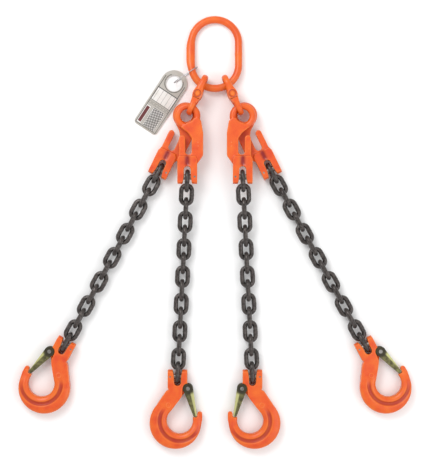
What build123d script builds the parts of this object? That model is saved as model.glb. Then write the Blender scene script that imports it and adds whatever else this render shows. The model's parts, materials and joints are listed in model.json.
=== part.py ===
from build123d import *
import os
from math import asin, cos, degrees, radians, sin, sqrt

os.makedirs("parts", exist_ok=True)

# Four leg chain sling laid out flat on a surface, in millimetres.
# Z is up from the surface, +Y runs to the master link and -Y down the legs.
# side is -1 for the left half and +1 for the right half.

# Clearances
run_gap = 0.3          # between pieces that bear on each other and move
pin_gap = 0.05         # radial, around a pin that is held in its hole
slot_gap = 0.6         # between a latch and what it swings past
link_play = 2.4        # each side of a link that stands in a clevis
flush_in = 0.5         # how far a web's edge stands inside the ring that it runs into

# Chain
wire = 10.0            # link wire diameter
pitch = 30.0           # spacing of the links
link_width = 33.0      # outer width of a link
group_links = 3        # links that move as one body
groups = 5             # bodies of links in a leg

# Master link
master_wire = 16.0
master_inner = 87.0    # inner width
master_straight = 49.0
flat_width = 19.0      # the flattened stretch of the left limb
flat_thick = 13.0
flat_length = 40.0
flat_corner = 5.0
hang_angle = 32.5      # where a connector hangs, from the bottom of the lower bow

# Connector, two forged halves on a pin
connector_length = 95.0
connector_turn = 24.8
connector_bow = 9.2    # bow thickness in the connector's plane
upper_width = 13.0     # bow width across that plane
lower_width = 12.0
bow_corner = 12.0      # inner corner radius of the upper bow
knuckle_radius = 9.75
knuckle_drop = 45.6    # from the top of the connector to the pin
knuckle_length = 9.2
connector_pin = 11.0
pin_chamfer = 1.0
sleeve_radius = 8.5

# Shortening hook
eye_hole = 14.6        # radius
eye_wire = 14.0
hook_drop = 132.0      # eye centre to load pin
limb_inner = 9.6
limb_outer = 34.5
limb_top = 36.0        # where the limb's outer edge leaves its tangent to the eye
limb_bottom = 86.0
limb_round = 12.0
web_point = (-2.0, 37.0)
web_angle = 30.0       # where the web meets the eye, from straight down
prong_inner = 4.6
prong_outer = 17.8
prong_top = 42.0
pocket_bottom = 84.0
shoulder = 104.0
web_thick = 15.0
base_top = 87.0        # the thick base starts here
base_side = 94.0       # and is full width from here
base_corner = 4.0
clevis_thick = 21.0
clevis_half = 21.5
slot_flare = 10.5
slot_depth = 23.0      # from the load pin to the top of the slot
ear_radius = 15.5      # ears end on this radius about the load pin
load_pin = 12.0
lock_pin = 4.0
lock_place = 16.0      # from the middle of the clevis
lock_sunk = 1.0        # its ends stand below the clevis's faces
hook_turn = {"inner": 0.0, "outer": 25.6}
eye_turn = {"inner": connector_turn, "outer": 60.0}

# Sling hook
sling_turn = {"inner": 0.0, "outer": 28.4}
bowl_centre = (5.0, 96.0)
bowl_radius = 28.6
back_centre = (-4.8, 101.3)
back_radius = 56.3
bowl_thick = 27.0
neck_thick = 22.0
neck_half = 21.5
neck_side = 26.0       # where the neck's sides leave the clevis
neck_round = 14.0
neck_right = (15.0, 36.0)
sling_slot = 19.5      # from the pin to the bottom of the slot
nose = (48.6, 81.5)
nose_radius = 5.4
nose_thick = 14.0
nose_side = 93.0       # where the nose's outer side starts to run into the bowl's back
nose_root = 112.0
latch_step = 88.5      # the step in the nose that the latch closes over
latch_pivot = (22.8, 25.8)
latch_boss = 11.0
latch_length = 62.9
latch_turn = 14.8      # closed, from straight down towards the point
latch_travel = 26.0
latch_end = 3.9        # half width at the end
latch_root = 0.96      # half width at the boss, as a share of the boss
latch_lip = 8.0        # the end of the channel is closed over this length
latch_thick = 18.0
latch_wall = 2.4
latch_pin = 6.0
lug_thick = 6.0         # the lug that carries the latch pin
lug_inset = 1.5        # the lug stands this far inside the latch's boss
head_thick = 1.5       # latch pin's heads
head_rim = 1.2
spring_wire = 1.0
spring_radius = 4.4

# Legs
leg_turn = {"inner": 2.85, "outer": 28.4}

# Tag and its wire
tag_width = 58.0
tag_hole = 18.0
tag_length = 119.0     # hole centre to far end
tag_thick = 1.5
tag_turn = 33.4
tag_corner = 8.0
tag_clear = 0.4        # more clearance between the tag and its wire
tag_wire = 2.0
tag_wire_length = 65.0
tag_wire_reach = (-37.0, -27.7)   # the wire's inner end, from the master link's middle
tag_wire_turn = 56.0              # its run, from -Y towards the left

# Worked out from the sizes above
link_inner = pitch + run_gap
link_radius = (link_width - wire) / 2
link_half = (link_inner + wire) / 2
pin_reach = (link_inner - load_pin) / 2 - run_gap
leg_length = 2 * pin_reach + pitch * (group_links * groups - 1)
slope_length = pin_reach + pitch * (2 * group_links - 1) + link_half
chain_z = link_width / 2
hook_step = clevis_thick + 2 * run_gap
connector_z = chain_z + hook_step / 2
hook_z = {"outer": chain_z, "inner": chain_z + hook_step}
slope = degrees(asin(hook_step / slope_length))
connector_inner = hook_step / 2 + eye_wire / 2 + run_gap
arm_middle = connector_inner + connector_bow / 2
lower_corner = eye_wire / 2 + 5 * run_gap
lug_half = lug_thick / 2
lug_radius = latch_boss - lug_inset
spring_room = latch_thick / 2 - latch_wall - lug_half - 2 * run_gap
spring_step = spring_wire + pin_gap
slot_half = wire / 2 + link_play
eye_outer = eye_hole + eye_wire
eye_blend = eye_outer - flush_in
eye_offset = eye_hole - lower_width / 2 - run_gap
seat_depth = connector_bow + bow_corner
seat_z = connector_z - connector_inner + master_wire / 2 + run_gap
master_radius = (master_inner + master_wire) / 2
master_half = master_straight / 2 + master_radius
seat_y = -master_straight / 2 - master_radius * cos(radians(hang_angle))
master_tilt = degrees(asin((seat_z - master_wire / 2) / (master_half - seat_y)))
master_z = master_wire / 2 + master_half * sin(radians(master_tilt))
bar_depth = connector_length - connector_bow / 2 - seat_depth


def heading(side, turn, down=0.0):
    """Unit vector down a leg, turned outward from -Y and pitched down."""
    flat = cos(radians(down))
    return Vector(side * sin(radians(turn)) * flat, -cos(radians(turn)) * flat, -sin(radians(down)))


def lay(origin, side, turn, down=0.0, faces=1):
    """Plane with X outward (or inward for faces=-1) and Y down the leg."""
    run = heading(side, turn, down)
    across = Vector(side * cos(radians(turn)), sin(radians(turn)), 0) * faces
    return Plane(origin=origin, x_dir=across, z_dir=across.cross(run))


# The drop from the master link's seat to the lowest point of an inner hook centres the whole in Y
rise = (master_half - seat_y) * cos(radians(master_tilt)) + master_wire / 2
plan_length = slope_length * cos(radians(slope)) + leg_length - slope_length
drop = (bar_depth + eye_offset) * cos(radians(connector_turn)) + hook_drop
drop += plan_length * cos(radians(leg_turn["inner"])) + back_centre[1] + back_radius
seat_line = (drop - rise) / 2
master_y = seat_line - seat_y * cos(radians(master_tilt))
master_plane = Plane(
    origin=(0, master_y, master_z),
    x_dir=(1, 0, 0),
    z_dir=(0, sin(radians(master_tilt)), cos(radians(master_tilt))),
)


def seat(side):
    """Centre of the master link's wire where a connector hangs."""
    return Vector(side * master_radius * sin(radians(hang_angle)), seat_line, seat_z)


def bar(side):
    """Centre of the connector's lower bar, in the connector's middle plane."""
    return seat(side) + heading(side, connector_turn) * bar_depth + Vector(0, 0, connector_z - seat_z)


def eye(side, row):
    point = bar(side) + heading(side, eye_turn[row]) * eye_offset
    return Vector(point.X, point.Y, hook_z[row])


def hook_pin(side, row):
    return eye(side, row) + heading(side, hook_turn[row]) * hook_drop


def link_place(side, row, number):
    """Centre and pitch of a link, counted from 1 at the shortening hook."""
    along = pin_reach + pitch * (number - 1)
    down = slope if row == "inner" and number <= 2 * group_links else 0.0
    start = hook_pin(side, row)
    if row == "inner" and not down:
        start = start + heading(side, leg_turn[row], slope) * slope_length
        along = along - slope_length
    return start + heading(side, leg_turn[row], down) * along, down


def sling_pin(side, row):
    centre, down = link_place(side, row, group_links * groups)
    return centre + heading(side, leg_turn[row]) * pin_reach


def oval(plane, radius, half_straight, thickness):
    """Adds a closed oval of round bar, long along the plane's Y."""
    with BuildLine(plane) as path:
        Line((-radius, half_straight), (-radius, -half_straight))
        ThreePointArc((-radius, -half_straight), (0, -half_straight - radius), (radius, -half_straight))
        Line((radius, -half_straight), (radius, half_straight))
        ThreePointArc((radius, half_straight), (0, half_straight + radius), (-radius, half_straight))
    with BuildSketch(Plane(origin=path.line @ 0, z_dir=path.line % 0)) as section:
        Circle(thickness / 2)
    sweep(section.sketch, path=path.line)


def disc(plane, radius, start, length, mode=Mode.ADD):
    """Adds or cuts a cylinder along the plane's normal."""
    with BuildSketch(plane.offset(start)) as section:
        Circle(radius)
    extrude(section.sketch, amount=length, mode=mode)


def plate(plane, points, half, corner=0.0, beyond=0.0, mode=Mode.ADD):
    """Adds or cuts a polygon, half to each side of the plane, its corners past -beyond in X rounded."""
    with BuildSketch(plane.offset(-half)) as section:
        Polygon(*points, align=None)
        if corner:
            fillet([v for v in section.vertices() if v.X < -beyond], corner)
    extrude(section.sketch, amount=2 * half, mode=mode)


def tangent_point(point, centre, radius, hand):
    """Where a line from a point touches a circle, on the side that hand names."""
    reach = Vector(centre[0] - point[0], centre[1] - point[1])
    turn = hand * degrees(asin(radius / reach.length))
    touch = reach.normalized().rotate(Axis.Z, turn) * sqrt(reach.length**2 - radius**2)
    return point[0] + touch.X, point[1] + touch.Y


def turned(plane, origin, normal):
    """A plane at a local point of another, with one of its directions as normal."""
    normals = {"x": plane.x_dir, "y": plane.y_dir, "z": plane.z_dir}
    xs = {"x": plane.y_dir, "y": plane.z_dir, "z": plane.x_dir}
    return Plane(origin=plane.from_local_coords(Vector(*origin)), x_dir=xs[normal], z_dir=normals[normal])


def finish(piece, name):
    piece.part.label = name
    export_step(piece.part, f"parts/{name}.step")


# Master link, with one limb flattened between its bows
with BuildPart() as master:
    oval(master_plane, master_radius, master_straight / 2, master_wire)
    limb = turned(master_plane, (-master_radius, 0, 0), "z")
    for start in (flat_thick / 2, -flat_thick / 2 - master_wire):
        with BuildSketch(limb.offset(start)):
            Rectangle(2 * master_wire, flat_length)
        extrude(amount=master_wire, mode=Mode.SUBTRACT)
    with BuildSketch(limb.offset(-flat_thick / 2)):
        RectangleRounded(flat_width, flat_length, flat_corner)
    extrude(amount=flat_thick)
finish(master, "master_link")


# Connectors. In their plane X runs down the connector and Y up from the surface.
def connector_plane(side):
    run = heading(side, connector_turn)
    top = seat(side) - run * seat_depth + Vector(0, 0, connector_z - seat_z)
    return Plane(origin=top, x_dir=run, z_dir=run.cross(Vector(0, 0, 1)))


def bow(plane, top, width, end, corner):
    """Adds a U of elliptical bar, its closed end at top and its arms out to end."""
    with BuildLine(plane) as path:
        FilletPolyline((end, arm_middle), (top, arm_middle), (top, -arm_middle), (end, -arm_middle),
                       radius=corner + connector_bow / 2)
    with BuildSketch(Plane(origin=path.line @ 0, x_dir=plane.z_dir, z_dir=path.line % 0)) as section:
        Ellipse(width / 2, connector_bow / 2)
    sweep(section.sketch, path=path.line)


def knuckles(pin_plane, inner, bore):
    """Adds two knuckles on the pin's line, then bores them."""
    for start in (inner, -inner - knuckle_length):
        disc(pin_plane, knuckle_radius, start, knuckle_length)
        disc(pin_plane, bore, start, knuckle_length, Mode.SUBTRACT)


outer_knuckle = arm_middle - knuckle_length / 2
inner_knuckle = outer_knuckle - run_gap - knuckle_length
shoulder_top = knuckle_drop + knuckle_radius + 2 * run_gap


def make_connector(side, label):
    plane = connector_plane(side)
    pin_plane = turned(plane, (knuckle_drop, 0, 0), "y")
    with BuildPart() as upper:
        bow(plane, connector_bow / 2, upper_width, knuckle_drop, bow_corner)
        disc(pin_plane, knuckle_radius - run_gap, -outer_knuckle, 2 * outer_knuckle, Mode.SUBTRACT)
        knuckles(pin_plane, outer_knuckle, connector_pin / 2 + pin_gap)
    finish(upper, f"{label}_connector_upper")

    with BuildPart() as lower:
        bow(plane, connector_length - connector_bow / 2, lower_width, shoulder_top + connector_bow / 2,
            lower_corner)
        for up in (1, -1):
            shoulder_points = [
                (knuckle_drop, up * inner_knuckle),
                (knuckle_drop, up * (inner_knuckle + knuckle_length)),
                (shoulder_top, up * (inner_knuckle + knuckle_length)),
                (shoulder_top, up * (connector_inner + connector_bow)),
                (shoulder_top + connector_bow, up * (connector_inner + connector_bow)),
                (shoulder_top + connector_bow, up * connector_inner),
                (shoulder_top, up * inner_knuckle),
            ]
            plate(plane, shoulder_points, lower_width / 2)
        knuckles(pin_plane, inner_knuckle, connector_pin / 2 + run_gap)
    finish(lower, f"{label}_connector_lower")

    pin_half = outer_knuckle + knuckle_length
    with BuildPart() as pin:
        disc(pin_plane, connector_pin / 2, -pin_half, 2 * pin_half)
        chamfer(pin.edges().filter_by(GeomType.CIRCLE), pin_chamfer)
    finish(pin, f"{label}_connector_pin")

    sleeve_half = inner_knuckle - run_gap
    with BuildPart() as sleeve:
        disc(pin_plane, sleeve_radius, -sleeve_half, 2 * sleeve_half)
        disc(pin_plane, connector_pin / 2 + pin_gap, -sleeve_half, 2 * sleeve_half, Mode.SUBTRACT)
    finish(sleeve, f"{label}_connector_sleeve")


# Clevis, shared by both hooks: way is +1 where the slot opens down the leg and -1 where it opens up
def clevis_slot(plane, depth, way):
    """Cuts the slot that a link stands in, round-bottomed and flared at its mouth."""
    root = slot_half - depth
    points = [
        (-slot_half, way * root), (-slot_half, 0), (-slot_flare, way * ear_radius),
        (-slot_flare, way * 2 * ear_radius), (slot_flare, way * 2 * ear_radius),
        (slot_flare, way * ear_radius), (slot_half, 0), (slot_half, way * root),
    ]
    plate(plane, points, clevis_thick, mode=Mode.SUBTRACT)
    disc(turned(plane, (0, way * root, 0), "z"), slot_half, -clevis_thick, 2 * clevis_thick, Mode.SUBTRACT)


def ear_cut(plane, way, width):
    """Rounds the ears' ends about the load pin's line."""
    with BuildSketch(turned(plane, (0, 0, 0), "x").offset(-width)) as section:
        with Locations((way * width / 2, 0)):
            Rectangle(width, 2 * width)
        Circle(ear_radius, mode=Mode.SUBTRACT)
    extrude(section.sketch, amount=2 * width, mode=Mode.SUBTRACT)


def pin_bores(plane, half):
    disc(turned(plane, (0, 0, 0), "x"), load_pin / 2 + pin_gap, -half, 2 * half, Mode.SUBTRACT)
    disc(turned(plane, (-lock_place, 0, 0), "z"), lock_pin / 2 + pin_gap, -half, 2 * half, Mode.SUBTRACT)


def make_pins(plane, half, name):
    """The load pin across the clevis and the locking pin through it."""
    lock_plane = turned(plane, (-lock_place, 0, 0), "z")
    with BuildPart() as pins:
        disc(turned(plane, (0, 0, 0), "x"), load_pin / 2, -half, 2 * half)
        disc(lock_plane, lock_pin / 2 + pin_gap, -half, 2 * half, Mode.SUBTRACT)
        disc(lock_plane, lock_pin / 2, lock_sunk - clevis_thick / 2, clevis_thick - 2 * lock_sunk)
    finish(pins, name)


# Shortening hooks. X is towards the prong and Y down the leg, from the eye or from the load pin.
def make_shortening_hook(side, row, label):
    plane = lay(eye(side, row), side, hook_turn[row])
    clevis = lay(hook_pin(side, row), side, hook_turn[row])
    prong_radius = (prong_outer - prong_inner) / 2
    prong_middle = (prong_outer + prong_inner) / 2
    prong_side = prong_top + prong_radius
    pocket_radius = (prong_inner + limb_inner) / 2
    pocket_middle = (prong_inner - limb_inner) / 2
    with BuildPart(plane) as body:
        limb_start = (-limb_outer, limb_top)
        outline = [
            tangent_point(limb_start, (0, 0), eye_blend, -1), limb_start, (-limb_outer, limb_bottom),
            (-clevis_half, shoulder), (clevis_half, shoulder), (clevis_half, base_side),
            (prong_outer, pocket_bottom), (prong_outer, prong_side), (-limb_inner, prong_side), web_point,
            (eye_blend * sin(radians(web_angle)), eye_blend * cos(radians(web_angle))),
        ]
        plate(plane, outline, web_thick / 2, limb_round, clevis_half + 1)
        disc(turned(plane, (prong_middle, prong_side, 0), "z"), prong_radius, -web_thick / 2, web_thick)
        pocket = turned(plane, (pocket_middle, pocket_bottom - pocket_radius, 0), "z")
        pocket_top = prong_side + pocket_radius - pocket_bottom
        plate(pocket, [(-pocket_radius, pocket_top), (pocket_radius, pocket_top),
                       (pocket_radius, 0), (-pocket_radius, 0)], web_thick, mode=Mode.SUBTRACT)
        disc(pocket, pocket_radius, -web_thick, 2 * web_thick, Mode.SUBTRACT)
        Torus(eye_hole + eye_wire / 2, eye_wire / 2)
        disc(plane, eye_hole, -web_thick, 2 * web_thick, Mode.SUBTRACT)
        base = [
            (base_corner - clevis_half, base_top), (clevis_half - base_corner, base_top),
            (clevis_half, base_side), (clevis_half, hook_drop + 2 * ear_radius),
            (-clevis_half, hook_drop + 2 * ear_radius), (-clevis_half, base_side),
        ]
        plate(plane, base, clevis_thick / 2)
        ear_cut(clevis, 1, 2 * clevis_half)
        clevis_slot(clevis, slot_depth, 1)
        pin_bores(clevis, clevis_half)
    finish(body, f"{label}_shortening_hook")
    make_pins(clevis, clevis_half, f"{label}_shortening_pins")


def make_chain(side, row, label):
    for group in range(groups):
        with BuildPart() as links:
            for step in range(group_links):
                number = group * group_links + step + 1
                centre, down = link_place(side, row, number)
                plane = lay(centre, side, leg_turn[row], down)
                if number % 2:
                    plane = Plane(origin=centre, x_dir=plane.z_dir, z_dir=-plane.x_dir)
                oval(plane, link_radius, link_half - link_radius, wire)
        finish(links, f"{label}_chain_{group + 1}")


# Sling hooks. X is towards the point and Y down, from the load pin.
def make_sling_hook(side, row, label):
    faces = 1 if row == "outer" else -1
    plane = lay(sling_pin(side, row), side, sling_turn[row], faces=faces)
    pivot = turned(plane, (*latch_pivot, 0), "z")
    latch_open = latch_plane(plane, pivot, latch_turn - latch_travel)
    half = bowl_thick / 2
    neck_left = (-neck_half, neck_side)
    nose_left = nose[0] - nose_radius
    step_inner = bowl_centre[0] + sqrt(bowl_radius**2 - (bowl_centre[1] - latch_step) ** 2)
    back_touch = tangent_point(neck_left, back_centre, back_radius, 1)
    bowl_touch = tangent_point(neck_right, bowl_centre, bowl_radius, 1)
    with BuildPart() as body:
        disc(turned(plane, (*back_centre, 0), "z"), back_radius, -half, bowl_thick)
        blend = [bowl_touch, neck_right, neck_left, back_touch, back_centre]
        plate(plane, blend, neck_thick / 2, neck_round, neck_half - 1)
        neck = [(-neck_half, -2 * ear_radius), neck_left, neck_right, (neck_half, neck_side),
                (neck_half, -2 * ear_radius)]
        plate(plane, neck, neck_thick / 2)
        disc(turned(plane, (*bowl_centre, 0), "z"), bowl_radius, -half, bowl_thick, Mode.SUBTRACT)
        throat = [
            bowl_touch, neck_right, (nose[0] + back_radius, neck_right[1]), (nose[0] + back_radius, nose[1]),
            (nose_left, nose[1]), (nose_left, latch_step), (step_inner, latch_step), bowl_centre,
        ]
        plate(plane, throat, bowl_thick, mode=Mode.SUBTRACT)
        nose_plate = [
            (nose_left, nose[1]), (nose[0] + nose_radius, nose[1]), (nose[0] + nose_radius, nose_side),
            (back_centre[0] + sqrt(back_radius**2 - (nose_root - back_centre[1]) ** 2), nose_root),
            (nose_left, nose_side),
        ]
        plate(plane, nose_plate, nose_thick / 2)
        disc(turned(plane, (*nose, 0), "z"), nose_radius, -nose_thick / 2, nose_thick)
        ear_cut(plane, -1, 2 * neck_half)
        clevis_slot(plane, sling_slot, -1)
        pin_bores(plane, neck_half)
        swept = [(-latch_boss - slot_gap, 0), (latch_boss, 0), (latch_boss, latch_length),
                 (-latch_end - slot_gap, latch_length)]
        for start in (lug_half, -lug_half - neck_thick):
            disc(pivot, latch_boss + slot_gap, start, neck_thick, Mode.SUBTRACT)
            plate(latch_open.offset(start + neck_thick / 2), swept, neck_thick / 2, mode=Mode.SUBTRACT)
        disc(pivot, lug_radius, -lug_half, 2 * lug_half)
        disc(pivot, latch_pin / 2 + pin_gap, -lug_half, 2 * lug_half, Mode.SUBTRACT)
    finish(body, f"{label}_sling_hook")
    make_pins(plane, neck_half, f"{label}_sling_pins")
    make_latch(plane, pivot, label)


def latch_plane(plane, pivot, turn):
    """Plane at the latch's pivot with Y along the latch, turned towards the point."""
    x_dir = plane.x_dir * cos(radians(turn)) - plane.y_dir * sin(radians(turn))
    return Plane(origin=pivot.origin, x_dir=x_dir, z_dir=plane.z_dir)


def make_latch(plane, pivot, label):
    closed = latch_plane(plane, pivot, latch_turn)
    half = latch_thick / 2
    root = latch_boss * latch_root
    tip = latch_end / 2
    inside = latch_length - latch_lip
    with BuildPart() as latch:
        blade = [(-root, tip), (root, tip), (latch_end, latch_length - tip), (tip, latch_length),
                 (-tip, latch_length), (-latch_end, latch_length - tip)]
        plate(closed, blade, half)
        disc(closed, latch_boss, -half, latch_thick)
        channel = [(-2 * latch_boss, -2 * latch_boss), (2 * latch_boss, -2 * latch_boss),
                   (latch_boss, latch_boss), (latch_end - latch_wall, inside), (-2 * latch_boss, inside)]
        plate(closed, channel, half - latch_wall, mode=Mode.SUBTRACT)
        disc(closed, latch_pin / 2 + run_gap, -half, latch_thick, Mode.SUBTRACT)
    finish(latch, f"{label}_latch")
    with BuildPart() as pin:
        disc(pivot, latch_pin / 2, -half - head_thick, latch_thick + 2 * head_thick)
        for start in (half + run_gap, -half - run_gap - head_thick):
            disc(pivot, latch_pin / 2 + head_rim, start, head_thick)
    finish(pin, f"{label}_latch_pin")
    with BuildPart() as spring:
        coil = Plane(origin=pivot.origin).offset(lug_half + run_gap + spring_wire / 2)
        with BuildLine(coil) as path:
            Helix(pitch=spring_step, height=spring_room - spring_wire, radius=spring_radius)
        with BuildSketch(Plane(origin=path.line @ 0, z_dir=path.line % 0)) as section:
            Circle(spring_wire / 2)
        sweep(section.sketch, path=path.line, is_frenet=True)
        mirror(about=Plane(origin=pivot.origin))
    finish(spring, f"{label}_latch_spring")


for side, label in ((-1, "left"), (1, "right")):
    make_connector(side, label)
    for row in ("inner", "outer"):
        make_shortening_hook(side, row, f"{label}_{row}")
        make_chain(side, row, f"{label}_{row}")
        make_sling_hook(side, row, f"{label}_{row}")


# Tag and its wire
tag_wire_z = tag_wire / 2 + run_gap
tag_wire_rise = 12.5


def make_tag():
    turn = radians(tag_wire_turn)
    run = Vector(-sin(turn), -cos(turn), 0)
    near = Vector(tag_wire_reach[0], master_y + tag_wire_reach[1], tag_wire_z + tag_wire_rise)
    middle = near + run * (tag_wire_length / 2)
    loop_plane = Plane(origin=middle, x_dir=(0, 0, 1), z_dir=Vector(0, 0, 1).cross(run))
    with BuildPart() as loop:
        oval(loop_plane, tag_wire_rise, tag_wire_length / 2 - tag_wire_rise - tag_wire / 2, tag_wire)
    finish(loop, "tag_wire")

    end = near + run * (tag_wire_length - tag_wire / 2)
    down = heading(-1, tag_turn)
    tip = degrees(asin((tag_wire + 2 * run_gap + tag_clear) / tag_length))
    plane = lay(Vector(end.X, end.Y, tag_wire + 3 * run_gap + tag_thick / 2 + tag_clear), -1, tag_turn, tip)
    with BuildPart() as tag:
        disc(plane, tag_width / 2, -tag_thick / 2, tag_thick)
        with BuildSketch(plane.offset(-tag_thick / 2)) as flat:
            with Locations((0, (tag_length - tag_corner) / 2)):
                RectangleRounded(tag_width, tag_length + tag_corner, tag_corner)
            with Locations((0, -tag_width / 2)):
                Rectangle(tag_width, tag_width, mode=Mode.SUBTRACT)
        extrude(flat.sketch, amount=tag_thick)
        disc(plane, tag_hole, -tag_thick, 2 * tag_thick, Mode.SUBTRACT)
    finish(tag, "tag")


make_tag()
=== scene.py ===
import bmesh
import bpy
import json
import math
import numpy as np
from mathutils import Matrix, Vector

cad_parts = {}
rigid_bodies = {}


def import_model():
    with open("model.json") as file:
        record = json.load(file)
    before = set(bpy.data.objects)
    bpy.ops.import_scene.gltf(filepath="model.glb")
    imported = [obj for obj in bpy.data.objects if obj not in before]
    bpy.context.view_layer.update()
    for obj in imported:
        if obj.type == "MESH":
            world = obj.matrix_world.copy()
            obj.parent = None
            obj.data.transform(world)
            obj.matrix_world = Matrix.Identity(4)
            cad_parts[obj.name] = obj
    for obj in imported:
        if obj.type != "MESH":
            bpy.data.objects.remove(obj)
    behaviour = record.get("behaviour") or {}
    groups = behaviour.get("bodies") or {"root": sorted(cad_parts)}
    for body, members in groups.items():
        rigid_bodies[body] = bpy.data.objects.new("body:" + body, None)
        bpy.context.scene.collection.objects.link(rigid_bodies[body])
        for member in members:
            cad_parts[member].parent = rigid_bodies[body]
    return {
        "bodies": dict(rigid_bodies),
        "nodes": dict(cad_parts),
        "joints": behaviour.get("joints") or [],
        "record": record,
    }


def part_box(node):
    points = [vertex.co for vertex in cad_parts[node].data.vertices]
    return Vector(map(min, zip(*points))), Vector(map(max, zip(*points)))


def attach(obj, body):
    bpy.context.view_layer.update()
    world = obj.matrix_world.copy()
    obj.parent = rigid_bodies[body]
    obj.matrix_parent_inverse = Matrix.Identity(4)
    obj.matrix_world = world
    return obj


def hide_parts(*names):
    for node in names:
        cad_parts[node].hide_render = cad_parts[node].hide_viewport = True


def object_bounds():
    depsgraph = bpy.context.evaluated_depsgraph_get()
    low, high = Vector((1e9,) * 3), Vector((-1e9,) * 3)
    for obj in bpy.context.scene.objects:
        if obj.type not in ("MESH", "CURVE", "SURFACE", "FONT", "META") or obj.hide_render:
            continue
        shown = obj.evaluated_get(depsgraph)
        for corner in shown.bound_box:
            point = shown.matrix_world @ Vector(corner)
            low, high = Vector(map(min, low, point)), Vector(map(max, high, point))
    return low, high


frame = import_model()
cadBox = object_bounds()
scene = bpy.context.scene
joints = {j["name"]: j for j in frame["joints"]}
up = np.array([0.0, 0.0, 1.0])
perMetre = 1000.0  # the formulas of the hooks, connectors and tag are written in millimetres
legs = [side + "_" + row for side in ("left", "right") for row in ("inner", "outer")]
print("frame loaded:", len(frame["nodes"]), "nodes")


# Camera and light
camera = {"height": 3.0, "viewWidth": 0.946, "lens": 114.0}
studio = {"world": 0.86, "floorSize": 8.0,
          "lights": {"key": {"place": (-0.9, 1.3, 2.2), "size": 1.2, "power": 30.0},
                     "fill": {"place": (1.4, -0.6, 1.8), "size": 1.6, "power": 12.0}}}


def jointPoint(name):
    return np.array(joints[name]["pos_m"], float)


def jointAxis(name):
    axis = np.array(joints[name]["axis"], float)
    return axis / np.linalg.norm(axis)


def setCamera():
    lo, hi = cadBox
    data = bpy.data.cameras.new("camera")
    data.sensor_fit = "HORIZONTAL"
    data.lens = camera["lens"]
    data.sensor_width = camera["viewWidth"] * camera["lens"] / camera["height"]
    obj = bpy.data.objects.new("camera", data)
    obj.location = ((lo.x + hi.x) / 2, (lo.y + hi.y) / 2, camera["height"])
    scene.collection.objects.link(obj)
    scene.camera = obj


def areaLight(name, spec):
    # An area light aimed at the origin.
    data = bpy.data.lights.new(name, "AREA")
    data.size = spec["size"]
    data.energy = spec["power"]
    obj = bpy.data.objects.new(name, data)
    scene.collection.objects.link(obj)
    obj.location = spec["place"]
    obj.rotation_euler = Vector(spec["place"]).to_track_quat("Z", "Y").to_euler()


def setStudio():
    world = bpy.data.worlds.new("studio")
    world.use_nodes = True
    sky = world.node_tree.nodes["Background"]
    sky.inputs["Color"].default_value = (1, 1, 1, 1)
    sky.inputs["Strength"].default_value = studio["world"]
    scene.world = world
    for name, spec in studio["lights"].items():
        areaLight(name, spec)
    scene.view_settings.view_transform = "Standard"


# Meshes
def meshFrom(name, points, closedU=True, closedV=True):
    # Grid of points (u, v, 3) to a quad mesh, wrapped where closed.
    nu, nv = points.shape[:2]
    index = np.arange(nu * nv).reshape(nu, nv)
    a = index if closedU else index[:-1]
    b = np.roll(index, -1, 0) if closedU else index[1:]
    if closedV:
        a2, b2 = np.roll(a, -1, 1), np.roll(b, -1, 1)
    else:
        a2, b2 = a[:, 1:], b[:, 1:]
        a, b = a[:, :-1], b[:, :-1]
    quads = np.stack([a, b, b2, a2], -1).reshape(-1, 4)
    mesh = bpy.data.meshes.new(name)
    mesh.from_pydata(points.reshape(-1, 3).tolist(), [], quads.tolist())
    mesh.polygons.foreach_set("use_smooth", np.ones(len(quads), bool))
    return mesh


def place(name, mesh, body, material, slot, *nodes):
    # Puts a finished mesh in the scene on its body.
    obj = bpy.data.objects.new(name, mesh)
    scene.collection.objects.link(obj)
    obj.data.materials.clear()
    obj.data.materials.append(material)
    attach(obj, body)
    if nodes:
        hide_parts(*nodes)
    return obj


def ovalPath(radius, halfStraight, count):
    # Points round an oval in its own plane and how far along each lies.
    # Two straights at x = -radius and +radius, joined by half circles.
    bend = math.pi * radius
    total = 4 * halfStraight + 2 * bend
    s = np.arange(count) * total / count
    s1, s2, s3 = 2 * halfStraight, 2 * halfStraight + bend, 4 * halfStraight + bend
    low = (s - s1) / radius
    high = (s - s3) / radius
    x = np.select([s < s1, s < s2, s < s3], [-radius, -radius * np.cos(low), radius], radius * np.cos(high))
    y = np.select([s < s1, s < s2, s < s3],
                  [halfStraight - s, -halfStraight - radius * np.sin(low), s - s2 - halfStraight],
                  halfStraight + radius * np.sin(high))
    return np.stack([x, y], -1), s, total


def barRound(path, inPlane, outPlane, count):
    # Section carried round a closed flat path: centre + cos(a)*inPlane*n + sin(a)*outPlane*z.
    tangent = np.roll(path, -1, 0) - np.roll(path, 1, 0)
    tangent /= np.linalg.norm(tangent, axis=1, keepdims=True)
    normal = np.stack([tangent[:, 1], -tangent[:, 0]], -1)
    angle = np.arange(count) * 2 * math.pi / count
    flat = path[:, None, :] + normal[:, None, :] * (np.cos(angle)[None, :] * inPlane)[..., None]
    return np.concatenate([flat, (np.sin(angle)[None, :] * outPlane)[..., None]], -1)


def toWorld(local, origin, xDir, yDir):
    zDir = np.cross(xDir, yDir)
    return origin + local @ np.stack([xDir, yDir, zDir])


def inMillimetres(co, origin, *axes):
    # Positions from the origin, measured along the axes.
    return ((co - origin) @ np.stack(axes, 1)).T * perMetre


def smoothStep(value, low, high):
    t = np.clip((value - low) / (high - low), 0, 1)
    return t * t * (3 - 2 * t)


# Materials
def newMaterial(name):
    material = bpy.data.materials.new(name)
    material.use_nodes = True
    nodes = material.node_tree.nodes
    return material, nodes, material.node_tree.links, nodes["Principled BSDF"]


def noiseNode(nodes, links, scale, detail, rough=0.5):
    coords = nodes.new("ShaderNodeTexCoord")
    noise = nodes.new("ShaderNodeTexNoise")
    noise.inputs["Scale"].default_value = scale
    noise.inputs["Detail"].default_value = detail
    noise.inputs["Roughness"].default_value = rough
    links.new(coords.outputs["Object"], noise.inputs["Vector"])
    return noise


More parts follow.
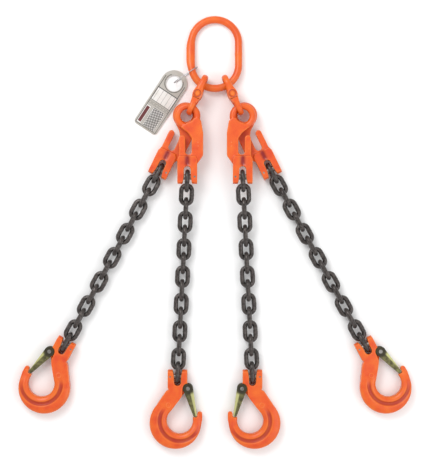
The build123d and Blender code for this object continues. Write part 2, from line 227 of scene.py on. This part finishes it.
def rampNode(nodes, links, source, stops):
    ramp = nodes.new("ShaderNodeValToRGB")
    elements = ramp.color_ramp.elements
    while len(elements) < len(stops):
        elements.new(0.5)
    for element, (where, colour) in zip(elements, stops):
        element.position = where
        element.color = (*colour, 1)
    links.new(source, ramp.inputs["Fac"])
    return ramp.outputs["Color"]


def mixColour(nodes, links, factor, a, b, blend="MIX"):
    mix = nodes.new("ShaderNodeMix")
    mix.data_type = "RGBA"
    mix.blend_type = blend
    for socket, value in ((mix.inputs[0], factor), (mix.inputs[6], a), (mix.inputs[7], b)):
        if isinstance(value, (int, float)):
            socket.default_value = value
        elif isinstance(value, tuple):
            socket.default_value = (*value, 1)
        else:
            links.new(value, socket)
    return mix.outputs[2]


def roughFrom(nodes, links, shader, source, low, high):
    spread = nodes.new("ShaderNodeMapRange")
    spread.inputs["To Min"].default_value = low
    spread.inputs["To Max"].default_value = high
    links.new(source, spread.inputs["Value"])
    links.new(spread.outputs["Result"], shader.inputs["Roughness"])


def bumpFrom(nodes, links, shader, source, strength, distance):
    bump = nodes.new("ShaderNodeBump")
    bump.inputs["Strength"].default_value = strength
    bump.inputs["Distance"].default_value = distance
    links.new(source, bump.inputs["Height"])
    links.new(bump.outputs["Normal"], shader.inputs["Normal"])


def attributeNode(nodes, name):
    node = nodes.new("ShaderNodeAttribute")
    node.attribute_name = name
    return node


# light, mid and deep are broad random tones; edge is paler paint on raised edges, partly wear and partly
# painted highlight; the colours for hollows and recesses are painted shade.
paint = {"light": (0.74, 0.125, 0.008), "mid": (0.70, 0.082, 0.006), "deep": (0.62, 0.050, 0.006),
         "edge": (0.80, 0.225, 0.020), "hollowShade": (0.40, 0.012, 0.006), "recess": (0.24, 0.006, 0.006),
         "speck": (0.72, 0.66, 0.62), "speckShare": 0.6, "broadScale": 38, "fineScale": 950,
         "rough": (0.26, 0.52), "bump": 0.35, "bumpDepth": 0.0006, "specular": 0.3,
         "coat": 0.3, "coatRough": 0.22}
black, white = (0, 0, 0), (1, 1, 1)


def orangePaint():
    # Three broad tones with dark specks; paler on raised edges, partly wear and partly painted highlight;
    # painted shade darkens hollows and recesses.
    material, nodes, links, shader = newMaterial("orangePaint")
    broad = noiseNode(nodes, links, paint["broadScale"], 4)
    fine = noiseNode(nodes, links, paint["fineScale"], 3, 0.6)
    tone = rampNode(nodes, links, broad.outputs["Fac"],
                    [(0.3, paint["deep"]), (0.47, paint["mid"]), (0.68, paint["light"])])
    speck = rampNode(nodes, links, fine.outputs["Fac"], [(0.30, paint["speck"]), (0.46, white)])
    tone = mixColour(nodes, links, paint["speckShare"], tone, speck, "MULTIPLY")
    bend = nodes.new("ShaderNodeNewGeometry").outputs["Pointiness"]
    # Raised edges paler: partly worn paint, partly painted highlight.
    wearAndHighlight = rampNode(nodes, links, bend, [(0.50, black), (0.58, white)])
    # Hollows darker: painted shade.
    shaded = rampNode(nodes, links, bend, [(0.42, white), (0.495, black)])
    tone = mixColour(nodes, links, wearAndHighlight, tone, paint["edge"])
    tone = mixColour(nodes, links, shaded, tone, paint["hollowShade"])
    # Painted shade in grooves, recesses and cut rings, set by the forged shapes.
    tone = mixColour(nodes, links, attributeNode(nodes, "paintedShade").outputs["Fac"], tone, paint["recess"])
    links.new(tone, shader.inputs["Base Color"])
    roughFrom(nodes, links, shader, fine.outputs["Fac"], *paint["rough"])
    bumpFrom(nodes, links, shader, fine.outputs["Fac"], paint["bump"], paint["bumpDepth"])
    shader.inputs["Specular IOR Level"].default_value = paint["specular"]
    shader.inputs["Coat Weight"].default_value = paint["coat"]
    shader.inputs["Coat Roughness"].default_value = paint["coatRough"]
    return material


metals = {
    "chain_steel": {"name": "chainSteel", "dark": (0.016, 0.011, 0.010), "light": (0.082, 0.068, 0.062),
                    "metallic": 0.6, "rough": (0.2, 0.42), "scale": 210, "bump": 0.6, "coat": 0.35},
    "pin_steel": {"name": "pinSteel", "dark": (0.16, 0.15, 0.14), "light": (0.34, 0.32, 0.30),
                  "metallic": 0.9, "rough": (0.25, 0.45), "scale": 160, "bump": 0.2, "coat": 0.0},
    "spring_steel": {"name": "springSteel", "dark": (0.25, 0.25, 0.25), "light": (0.45, 0.45, 0.45),
                     "metallic": 1.0, "rough": (0.2, 0.35), "scale": 300, "bump": 0.1, "coat": 0.0},
    "steel_wire": {"name": "wireSteel", "dark": (0.28, 0.28, 0.29), "light": (0.55, 0.55, 0.56),
                   "metallic": 0.9, "rough": (0.25, 0.4), "scale": 400, "bump": 0.1, "coat": 0.0},
    "tag_plate": {"name": "tagPlate", "dark": (0.44, 0.41, 0.37), "light": (0.60, 0.57, 0.52),
                  "metallic": 0.3, "rough": (0.3, 0.5), "scale": 60, "bump": 0.1, "coat": 0.0},
}
grain = {"scale": 1300, "depth": 0.0005}


def metal(look):
    # Bare or plated metal: two tones by broad noise, grain by fine noise.
    material, nodes, links, shader = newMaterial(look["name"])
    broad = noiseNode(nodes, links, look["scale"], 5)
    fine = noiseNode(nodes, links, grain["scale"], 3, 0.6)
    tone = rampNode(nodes, links, broad.outputs["Fac"], [(0.34, look["dark"]), (0.66, look["light"])])
    links.new(tone, shader.inputs["Base Color"])
    shader.inputs["Metallic"].default_value = look["metallic"]
    shader.inputs["Coat Weight"].default_value = look["coat"]
    roughFrom(nodes, links, shader, fine.outputs["Fac"], *look["rough"])
    bumpFrom(nodes, links, shader, fine.outputs["Fac"], look["bump"], grain["depth"])
    return material


# pale is a painted highlight along the latch's outer edge; boss is painted shade round its pivot.
plating = {"dark": (0.055, 0.048, 0.022), "mid": (0.20, 0.185, 0.070), "pale": (0.56, 0.55, 0.24),
           "boss": (0.026, 0.021, 0.014), "broadScale": 140, "fineScale": 1100, "metallic": 0.75,
           "coat": 0.25, "rough": (0.24, 0.46), "bump": 0.35}


def latchPlating():
    # Two olive tones by noise, pale where the edge value is set (a painted highlight) and dark round the boss
    # where the shade value is set (painted shade).
    material, nodes, links, shader = newMaterial("latchPlating")
    broad = noiseNode(nodes, links, plating["broadScale"], 5)
    fine = noiseNode(nodes, links, plating["fineScale"], 3, 0.6)
    tone = rampNode(nodes, links, broad.outputs["Fac"], [(0.32, plating["dark"]), (0.68, plating["mid"])])
    tone = mixColour(nodes, links, attributeNode(nodes, "edge").outputs["Fac"], tone, plating["pale"])
    tone = mixColour(nodes, links, attributeNode(nodes, "paintedShade").outputs["Fac"], tone, plating["boss"])
    links.new(tone, shader.inputs["Base Color"])
    shader.inputs["Metallic"].default_value = plating["metallic"]
    shader.inputs["Coat Weight"].default_value = plating["coat"]
    roughFrom(nodes, links, shader, fine.outputs["Fac"], *plating["rough"])
    bumpFrom(nodes, links, shader, fine.outputs["Fac"], plating["bump"], grain["depth"])
    return material


def tagPrint():
    material, nodes, links, shader = newMaterial("tagPrint")
    stain = noiseNode(nodes, links, 55, 4)
    wash = rampNode(nodes, links, stain.outputs["Fac"], [(0.3, (0.86, 0.84, 0.80)), (0.7, white)])
    ink = attributeNode(nodes, "ink").outputs["Color"]
    links.new(mixColour(nodes, links, 1.0, ink, wash, "MULTIPLY"), shader.inputs["Base Color"])
    roughFrom(nodes, links, shader, stain.outputs["Fac"], 0.32, 0.5)
    return material


def floorMaterial():
    material, nodes, links, shader = newMaterial("paleFloor")
    soft = noiseNode(nodes, links, 3, 3)
    tone = rampNode(nodes, links, soft.outputs["Fac"], [(0.3, (0.90, 0.90, 0.90)), (0.7, (0.93, 0.93, 0.93))])
    links.new(tone, shader.inputs["Base Color"])
    shader.inputs["Roughness"].default_value = 0.9
    return material


finishes = {slot: metal(look) for slot, look in metals.items()}
finishes["orange_paint"] = orangePaint()
finishes["latch_plating"] = latchPlating()
for part in frame["record"]["subparts"]:
    cad = frame["nodes"][part["node"]]
    cad.data.materials.clear()
    cad.data.materials.append(finishes[part["material_slot"]])
print("materials ready")


# Chain links
link = {"radius": 0.0115, "halfStraight": 0.00865, "wire": 0.005, "pitch": 0.030,
        "pinReach": 0.00885, "hang": 0.00985, "perGroup": 3, "weld": 0.07, "weldSpread": 0.0021,
        "bendThin": 0.012, "along": 56, "around": 18}


def linkPoints():
    # Oval of round wire: wire * (1 + weld * bell curve at the middle of one straight), a little
    # thinner round the bends.
    path, s = ovalPath(link["radius"], link["halfStraight"], link["along"])[:2]
    swell = 1 + link["weld"] * np.exp(-((s - link["halfStraight"]) / link["weldSpread"]) ** 2)
    bow = np.clip(np.abs(path[:, 1]) - link["halfStraight"], 0, None) / link["radius"]
    radius = (link["wire"] * swell * (1 - link["bendThin"] * bow))[:, None]
    return barRound(path, radius, radius, link["around"])


def makeChain(leg):
    # Links stand upright and lie flat by turns, from one joint of the chain to the next.
    shape = linkPoints()
    groups = sorted(b for b in frame["bodies"] if b.startswith(leg + "_chain_"))
    starts = [next(jointPoint(j) for j in joints if joints[j]["child"] == g) for g in groups]
    starts.append(jointPoint(leg + "_sling_hook_lift"))
    for g, body in enumerate(groups):
        run = starts[g + 1] - starts[g]
        run /= np.linalg.norm(run)
        across = np.cross(run, up)
        across /= np.linalg.norm(across)
        normal = np.cross(across, run)
        first = link["pinReach"] if g == 0 else link["hang"]
        for k in range(link["perGroup"]):
            number = g * link["perGroup"] + k
            centre = starts[g] + run * (first + link["pitch"] * k)
            xDir = across if number % 2 else normal
            world = toWorld(shape, centre, xDir, run)
            mesh = meshFrom("link", world)
            covers = [body] if k == 0 else []
            place(f"{leg}_link_{number + 1:02d}", mesh, body, finishes["chain_steel"], "chain_steel", *covers)


for leg in legs:
    makeChain(leg)
print("chains made")


# Master link
master = {"radius": 0.0515, "halfStraight": 0.0245, "wire": 0.008, "flatWide": 0.0095, "flatThick": 0.0065,
          "flatHalf": 0.012, "flatRun": 0.026, "bulge": 0.0018, "weld": 0.05, "weldSpread": 0.004,
          "along": 220, "around": 40}


def makeMaster():
    # Oval of round bar; the left straight passes smoothly from round to a wide flat.
    path = ovalPath(master["radius"], master["halfStraight"], master["along"])[0]
    reach = master["flatHalf"] + master["flatRun"]
    onLeft = (path[:, 0] < 0) * smoothStep(-np.abs(path[:, 1]), -reach, -master["flatHalf"])
    path[:, 0] -= master["bulge"] * onLeft
    weld = (path[:, 0] > 0) * np.exp(-(path[:, 1] / master["weldSpread"]) ** 2) * master["weld"]
    wide = master["wire"] * (1 + weld) * (1 - onLeft) + master["flatWide"] * onLeft
    thick = master["wire"] * (1 + weld) * (1 - onLeft) + master["flatThick"] * onLeft
    shape = barRound(path, wide[:, None], thick[:, None], master["around"])
    lo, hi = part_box("master_link")
    length = 2 * (master["radius"] + master["halfStraight"])
    rise = (hi.z - lo.z) - 2 * master["wire"]
    tilt = math.asin(rise / length)
    centre = np.array([0.0, (lo.y + hi.y) / 2, (lo.z + hi.z) / 2])
    yDir = np.array([0, math.cos(tilt), -math.sin(tilt)])
    world = toWorld(shape, centre, np.array([1.0, 0, 0]), yDir)
    place("master_link_bar", meshFrom("masterLink", world), "master", finishes["orange_paint"],
          "orange_paint", "master_link")


makeMaster()
print("master link made")


# Forged pieces, from merged copies of the CAD solids
forging = {"mergeWithin": 1e-6, "smoothing": 0.5}


def forged(node, voxel, passes, shape):
    # A copy of a CAD solid, its edges eased by remeshing and smoothing, then moved by shape(points),
    # which also gives the named values that the material reads.
    mesh = frame["nodes"][node].data.copy()
    work = bmesh.new()
    work.from_mesh(mesh)
    bmesh.ops.remove_doubles(work, verts=work.verts, dist=forging["mergeWithin"])
    work.to_mesh(mesh)
    work.free()
    obj = bpy.data.objects.new("work", mesh)
    scene.collection.objects.link(obj)
    remesh = obj.modifiers.new("remesh", "REMESH")
    remesh.mode = "VOXEL"
    remesh.voxel_size = voxel
    smooth = obj.modifiers.new("smooth", "SMOOTH")
    smooth.factor = forging["smoothing"]
    smooth.iterations = passes
    done = bpy.data.meshes.new_from_object(obj.evaluated_get(bpy.context.evaluated_depsgraph_get()))
    bpy.data.objects.remove(obj)
    count = len(done.vertices)
    co = np.empty(count * 3, np.float32)
    done.vertices.foreach_get("co", co)
    co = co.reshape(-1, 3).astype(float)
    co, values = shape(co)
    done.vertices.foreach_set("co", co.astype(np.float32).ravel())
    for key, value in values.items():
        layer = done.attributes.new(key, "FLOAT", "POINT")
        layer.data.foreach_set("value", value.astype(np.float32))
    done.polygons.foreach_set("use_smooth", np.ones(len(done.polygons), bool))
    done.update()
    return done


connector = {"voxel": 0.0008, "passes": 6, "bow": 6.5, "knuckle": 9.75, "swell": 3.9, "swellReach": 15.0,
             "ring": 7.7, "ringHalf": 0.8, "ringDepth": 0.7,
             "ringFromTop": 1.2}


def makeConnector(side):
    pin = jointPoint(side + "_connector_turn")
    run = pin - jointPoint(side + "_connector_lift")
    run[2] = 0
    run /= np.linalg.norm(run)
    across = np.cross(up, run)
    for half in ("upper", "lower"):
        node = f"{side}_connector_{half}"
        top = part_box(node)[1].z

        def shape(co):
            # Arms widen towards the pin: bow + swell * exp(-(x/reach)^2). A ring is cut round the pin and
            # darkened with painted shade.
            x, c, z = inMillimetres(co, pin, run, across, up)
            wide = connector["bow"] + connector["swell"] * np.exp(-(x / connector["swellReach"]) ** 2)
            now = np.maximum(connector["bow"], np.sqrt(np.clip(connector["knuckle"] ** 2 - x ** 2, 0, None)))
            c2 = c * np.maximum(1, wide / now)
            ring = np.exp(-((np.hypot(x, c2) - connector["ring"]) / connector["ringHalf"]) ** 2)
            ring = ring * (np.abs(z) > (top - pin[2]) * perMetre - connector["ringFromTop"])
            moved = across * ((c2 - c) / perMetre)[:, None]
            moved = moved - up * (np.sign(z) * connector["ringDepth"] * ring / perMetre)[:, None]
            return co + moved, {"paintedShade": np.clip(ring, 0, 1)}

        mesh = forged(node, connector["voxel"], connector["passes"], shape)
        place(node + "_forging", mesh, node, finishes["orange_paint"], "orange_paint", node)


for side in ("left", "right"):
    makeConnector(side)
print("connectors made")


shortHook = {"turn": {"inner": 0.0, "outer": 25.6}, "voxel": 0.0009, "passes": 9,
             "face": (4.0, 7.0), "recess": (0.0, -35.0), "recessHalf": (5.2, 11.5), "recessDepth": 2.6,
             "recessShadeStrength": 1.2,
             "dots": ((-24.0, -74.0), (-24.0, -66.0), (13.5, -60.0)), "dotRadius": 1.3, "dotHeight": 0.7}


def makeShortHook(leg):
    side = -1 if leg.startswith("left") else 1
    turn = math.radians(shortHook["turn"][leg.split("_")[1]])
    down = np.array([side * math.sin(turn), -math.cos(turn), 0])
    out = np.array([side * math.cos(turn), math.sin(turn), 0])
    origin = jointPoint(leg + "_chain_1_lift")

    def shape(co):
        # Faces dished by a lens: depth * exp(-(u/a)^2 - (v/b)^4), and small raised dots.
        u, v, w = inMillimetres(co, origin, out, down, up)
        cu, cv = shortHook["recess"]
        a, b = shortHook["recessHalf"]
        inside = np.exp(-((u - cu) / a) ** 2 - ((v - cv) / b) ** 4)
        face = smoothStep(np.abs(w), *shortHook["face"])
        move = -shortHook["recessDepth"] * inside
        for du, dv in shortHook["dots"]:
            reach = ((u - du) ** 2 + (v - dv) ** 2) / shortHook["dotRadius"] ** 2
            move = move + shortHook["dotHeight"] * np.exp(-reach)
        co = co + up * (np.sign(w) * move * face / perMetre)[:, None]
        # Painted shade darkens the dished recess on the faces.
        return co, {"paintedShade": np.clip(inside * face * shortHook["recessShadeStrength"], 0, 1)}

    node = leg + "_shortening_hook"
    mesh = forged(node, shortHook["voxel"], shortHook["passes"], shape)
    place(node + "_forging", mesh, node, finishes["orange_paint"], "orange_paint", node)


for leg in legs:
    makeShortHook(leg)
print("shortening hooks made")


slingHook = {"voxel": 0.00105, "passes": 10, "bowl": (5.0, 96.0), "bowlRadius": 28.6, "back": (-4.8, 101.3),
             "backRadius": 56.3, "bowlFrom": (58, 84), "rim": 0.50, "rimReach": 12.0, "backEase": 0.8,
             "least": 5.2, "neck": 11.0, "bowlHalf": 13.5, "neckFrom": (52, 88),
             "tipThin": 0.42, "tipAcross": (18, 44), "tipDown": (92, 128),
             "groove": 3.0, "grooveAt": 15.0, "grooveHalf": 4.2, "grooveFrom": (8, 55),
             "grooveTo": (120, 165), "grooveBack": -100, "grooveShadeStrength": 0.62, "face": (5.0, 9.0),
             "mark": (-20.0, 62.0), "markRadius": 5.0, "markHeight": 0.7, "markLine": 0.9}


def shapeSlingHook(co, origin, across, down):
    # Half thickness = thickness * (rim + (1 - rim) * quarter circle of the way in from the nearer
    # rim), less towards the point, never under a least value. A groove follows the bowl: depth *
    # exp(-(way/half)^4), faded at both ends. A thin raised circle stands on the neck.
    u, v, w = inMillimetres(co, origin, across, down, up)
    hook = slingHook
    bu, bv = hook["bowl"]
    inner = np.hypot(u - bu, v - bv) - hook["bowlRadius"]
    outer = hook["backRadius"] - np.hypot(u - hook["back"][0], v - hook["back"][1])
    inBowl = smoothStep(v, *hook["bowlFrom"])
    way = np.clip(np.minimum(inner, outer * hook["backEase"]) / hook["rimReach"], 0, 1)
    rim = hook["rim"] + (1 - hook["rim"]) * np.sqrt(np.clip(1 - (1 - way) ** 2, 0, 1))
    thin = 1 - inBowl * (1 - rim)
    tipNear, tipFar = hook["tipDown"]
    tip = smoothStep(u, *hook["tipAcross"]) * smoothStep(-v, -tipFar, -tipNear)
    thin = thin * (1 - hook["tipThin"] * tip)
    cap = hook["neck"] + (hook["bowlHalf"] - hook["neck"]) * smoothStep(v, *hook["neckFrom"])
    flat = np.maximum(np.minimum(np.abs(w), cap) * thin, np.minimum(np.abs(w), hook["least"]))
    around = np.degrees(np.arctan2(v - bv, u - bu))
    swing = smoothStep(around, *hook["grooveFrom"]) + (around < hook["grooveBack"])
    swing = swing * np.where(around < 0, smoothStep(-around, *hook["grooveTo"]), 1)
    groove = np.exp(-((inner - hook["grooveAt"]) / hook["grooveHalf"]) ** 4) * np.clip(swing, 0, 1)
    groove = groove * inBowl
    face = smoothStep(np.abs(w), *hook["face"])
    mark = np.hypot(u - hook["mark"][0], v - hook["mark"][1]) - hook["markRadius"]
    mark = hook["markHeight"] * np.exp(-(mark / hook["markLine"]) ** 2)
    w2 = np.sign(w) * (flat - (hook["groove"] * groove - mark) * face)
    co = co + up * ((w2 - w) / perMetre)[:, None]
    # The groove is darkened with painted shade.
    return co, {"paintedShade": np.clip(hook["grooveShadeStrength"] * groove * face, 0, 1)}


latchPress = {"voxel": 0.00055, "passes": 4, "boss": (9.5, 15.5), "bossShadeStrength": 0.85,
              "edgeAcross": (1.5, 4.5), "edgeAlong": (6, 16.0), "edgeHighlight": 0.9}


def shapeLatch(co, pivot, across, along):
    # Not moved. Painted shade round the boss, and a painted highlight along the outer edge where the plating
    # catches the light.
    x, y = inMillimetres(co, pivot, across, along)
    boss = 1 - smoothStep(np.hypot(x, y), *latchPress["boss"])
    edge = smoothStep(x, *latchPress["edgeAcross"]) * smoothStep(y, *latchPress["edgeAlong"])
    return co, {"paintedShade": latchPress["bossShadeStrength"] * boss, "edge": latchPress["edgeHighlight"] * edge}


def makeSlingHook(leg):
    origin = jointPoint(leg + "_sling_hook_lift")
    pivot = jointPoint(leg + "_latch_open")
    across = jointAxis(leg + "_sling_hook_lift")
    across = across * np.sign((pivot - origin) @ across)
    down = np.cross(up, across)
    down = down * np.sign((pivot - origin) @ down)
    node = leg + "_sling_hook"
    mesh = forged(node, slingHook["voxel"], slingHook["passes"],
                  lambda co: shapeSlingHook(co, origin, across, down))
    place(node + "_forging", mesh, node, finishes["orange_paint"], "orange_paint", node)

    node = leg + "_latch"
    points = np.array([v.co for v in frame["nodes"][node].data.vertices], float)
    along = points[np.argmax(np.linalg.norm((points - pivot)[:, :2], axis=1))] - pivot
    along[2] = 0
    along /= np.linalg.norm(along)
    outward = np.cross(along, up) * np.sign(np.cross(along, up) @ across)
    mesh = forged(node, latchPress["voxel"], latchPress["passes"],
                  lambda co: shapeLatch(co, pivot, outward, along))
    place(node + "_pressing", mesh, node, finishes["latch_plating"], "latch_plating", node)


for leg in legs:
    makeSlingHook(leg)
print("sling hooks made")


# Tag and its wire
tag = {"step": 0.0005, "width": 58.0, "hole": 18.0, "length": 119.0, "corner": 8.0, "turn": 33.4,
       "lift": 0.00012, "inset": 0.4, "nearEnd": 0.020, "farEnd": 0.004}
inks = {"plain": (0.44, 0.42, 0.385), "ink": (0.035, 0.032, 0.03), "red": (0.105, 0.006, 0.008),
        "pale": (0.74, 0.72, 0.70)}
# A frame of the print is from x, to x, from y, to y and the width of its line
prints = {"panel": (-25, 25, 24, 56, 1.1), "border": (-26, 26, 23, 116, 1.1),
          "block": (-25, -13, 69, 114, 0.9), "field": (-9, 21, 68, 114, 0.8),
          "box": (-25, -18, 58.5, 65, 0.7), "boxes": 6, "boxStep": 8.5,
          "ringRadius": 20.3, "ringFrom": -14, "sideLine": 24.5, "sideSpan": (-6, 24), "lineHalf": 0.7,
          "column": 10, "columnHalf": 0.45, "bar": (-19, 3.6), "barSpan": (72, 111),
          "hatch": (6, 13.5), "hatchStep": 5.0, "hatchWide": 1.9, "hatchThin": 1.7}


def tagColours(x, y):
    # Generic printed layout: frames, a column panel, a row of boxes, a block and a hatched field.
    x = -x
    colour = np.broadcast_to(np.array(inks["plain"]), (*x.shape, 3)).copy()

    def paintWhere(mask, name):
        colour[mask] = inks[name]

    def frameBox(x0, x1, y0, y1, line):
        inside = (x > x0) & (x < x1) & (y > y0) & (y < y1)
        core = (x > x0 + line) & (x < x1 - line) & (y > y0 + line) & (y < y1 - line)
        paintWhere(inside & ~core, "ink")
        return core

    def between(value, span):
        return (value > span[0]) & (value < span[1])

    def near(value, middle, half):
        return np.abs(value - middle) < half

    line = prints["lineHalf"]
    paintWhere(near(np.hypot(x, y), prints["ringRadius"], line) & (y > prints["ringFrom"]), "ink")
    for edge in (-prints["sideLine"], prints["sideLine"]):
        paintWhere(near(x, edge, line) & between(y, prints["sideSpan"]), "ink")
    panel = frameBox(*prints["panel"])
    paintWhere(panel, "pale")
    column = np.mod(x - prints["panel"][0], prints["column"])
    paintWhere(panel & near(column, prints["column"] / 2, prints["columnHalf"]), "ink")
    x0, x1, y0, y1, line = prints["box"]
    for k in range(prints["boxes"]):
        frameBox(x0 + k * prints["boxStep"], x1 + k * prints["boxStep"], y0, y1, line)
    frameBox(*prints["border"])
    block = frameBox(*prints["block"])
    paintWhere(block, "pale")
    paintWhere(block & near(x, *prints["bar"]) & between(y, prints["barSpan"]), "red")
    field = frameBox(*prints["field"])
    paintWhere(field, "pale")
    step = prints["hatchStep"]
    hatch = (np.mod(x + y, step) < prints["hatchWide"]) | (np.mod(x - y, step) < prints["hatchThin"])
    paintWhere(field & hatch & near(x, *prints["hatch"]), "ink")
    return colour


def inOutline(x, y):
    # Inside the plate: a half circle round the hole, straight sides, two rounded lower corners.
    half, r, inset = tag["width"] / 2, tag["corner"], tag["inset"]
    away = np.hypot(x, y)
    keep = away > tag["hole"] + inset
    keep &= (y > 0) | (away < half - inset)
    keep &= (np.abs(x) < half - inset) & (y < tag["length"] - inset)
    corner = (np.abs(x) > half - r) & (y > tag["length"] - r)
    return keep & ~(corner & (np.hypot(np.abs(x) - half + r, y - tag["length"] + r) > r - inset))


def tagHeight(hook, down, y):
    # The plate's own slope, read from the CAD node: a straight line down its length.
    co = np.array([v.co for v in frame["nodes"]["tag"].data.vertices])
    v = (co - hook) @ down
    far = co[v > tag["length"] / perMetre - tag["farEnd"]]
    near = co[v < -tag["nearEnd"]]
    fall = (near[:, 2].max() - far[:, 2].max()) / ((near @ down).min() - (far @ down).max())
    return near[:, 2].max() + fall * ((y / perMetre) - ((near - hook) @ down).min()) + tag["lift"]


def makeTag():
    # A printed sheet just over the plate, cut to its outline square by square.
    hook = jointPoint("tag_swing")
    turn = math.radians(tag["turn"])
    down = np.array([-math.sin(turn), -math.cos(turn), 0])
    out = np.array([-math.cos(turn), math.sin(turn), 0])
    step, half = tag["step"] * perMetre, tag["width"] / 2
    x, y = np.meshgrid(np.arange(-half, half + step, step),
                       np.arange(-half, tag["length"] + step, step), indexing="ij")
    points = hook + x[..., None] / perMetre * out + y[..., None] / perMetre * down
    points[..., 2] = tagHeight(hook, down, y)
    index = np.arange(x.size).reshape(x.shape)
    quads = np.stack([index[:-1, :-1], index[:-1, 1:], index[1:, 1:], index[1:, :-1]], -1)
    quads = quads[inOutline(x[:-1, :-1] + step / 2, y[:-1, :-1] + step / 2)]
    used = np.unique(quads)
    remap = np.zeros(x.size, int)
    remap[used] = np.arange(len(used))
    mesh = bpy.data.meshes.new("tagFace")
    mesh.from_pydata(points.reshape(-1, 3)[used].tolist(), [], remap[quads].tolist())
    colours = np.concatenate([tagColours(x, y).reshape(-1, 3)[used], np.ones((len(used), 1))], 1)
    layer = mesh.color_attributes.new("ink", "FLOAT_COLOR", "POINT")
    layer.data.foreach_set("color", colours.astype(np.float32).ravel())
    if mesh.polygons[0].normal.z < 0:
        mesh.flip_normals()
    place("tag_face", mesh, "tag", tagPrint(), "tag_plate")


tagWire = {"radius": 0.0125, "wire": 0.001, "strands": 3, "groove": 0.12, "twist": 1300.0, "along": 260,
           "around": 18}


def makeTagWire():
    # Oval of twisted wire: wire * (1 - groove + groove * cos(strands * around - turns * along)).
    lo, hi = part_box("tag_wire")
    middle = (np.array(lo) + np.array(hi)) / 2
    run = jointPoint("tag_swing") - jointPoint("tag_wire_lift")
    run[2] = 0
    run /= np.linalg.norm(run)
    wire = tagWire["wire"]
    span = math.hypot(hi.x - lo.x - 2 * wire * abs(run[1]), hi.y - lo.y - 2 * wire * abs(run[0]))
    half = span / 2 - tagWire["radius"] - wire
    path, s, total = ovalPath(tagWire["radius"], half, tagWire["along"])
    angle = np.arange(tagWire["around"]) * 2 * math.pi / tagWire["around"]
    turns = round(total * tagWire["twist"] / (2 * math.pi)) * 2 * math.pi / total
    groove = tagWire["groove"]
    strand = np.cos(tagWire["strands"] * angle[None, :] - turns * s[:, None])
    wave = wire * (1 - groove + groove * strand)
    world = toWorld(barRound(path, wave, wave, tagWire["around"]), middle, up, run)
    place("tag_wire_loop", meshFrom("tagWire", world), "tag_wire", finishes["steel_wire"],
          "steel_wire", "tag_wire")


makeTag()
makeTagWire()
print("tag made")


# Floor
def makeFloor():
    half = studio["floorSize"] / 2
    grid = np.array([[[-half, -half, 0], [-half, half, 0]], [[half, -half, 0], [half, half, 0]]], float)
    mesh = meshFrom("floor", grid, False, False)
    if mesh.polygons[0].normal.z < 0:
        mesh.flip_normals()
    floor = bpy.data.objects.new("floor", mesh)
    scene.collection.objects.link(floor)
    mesh.materials.append(floorMaterial())


makeFloor()
setCamera()
setStudio()
print("stage set")
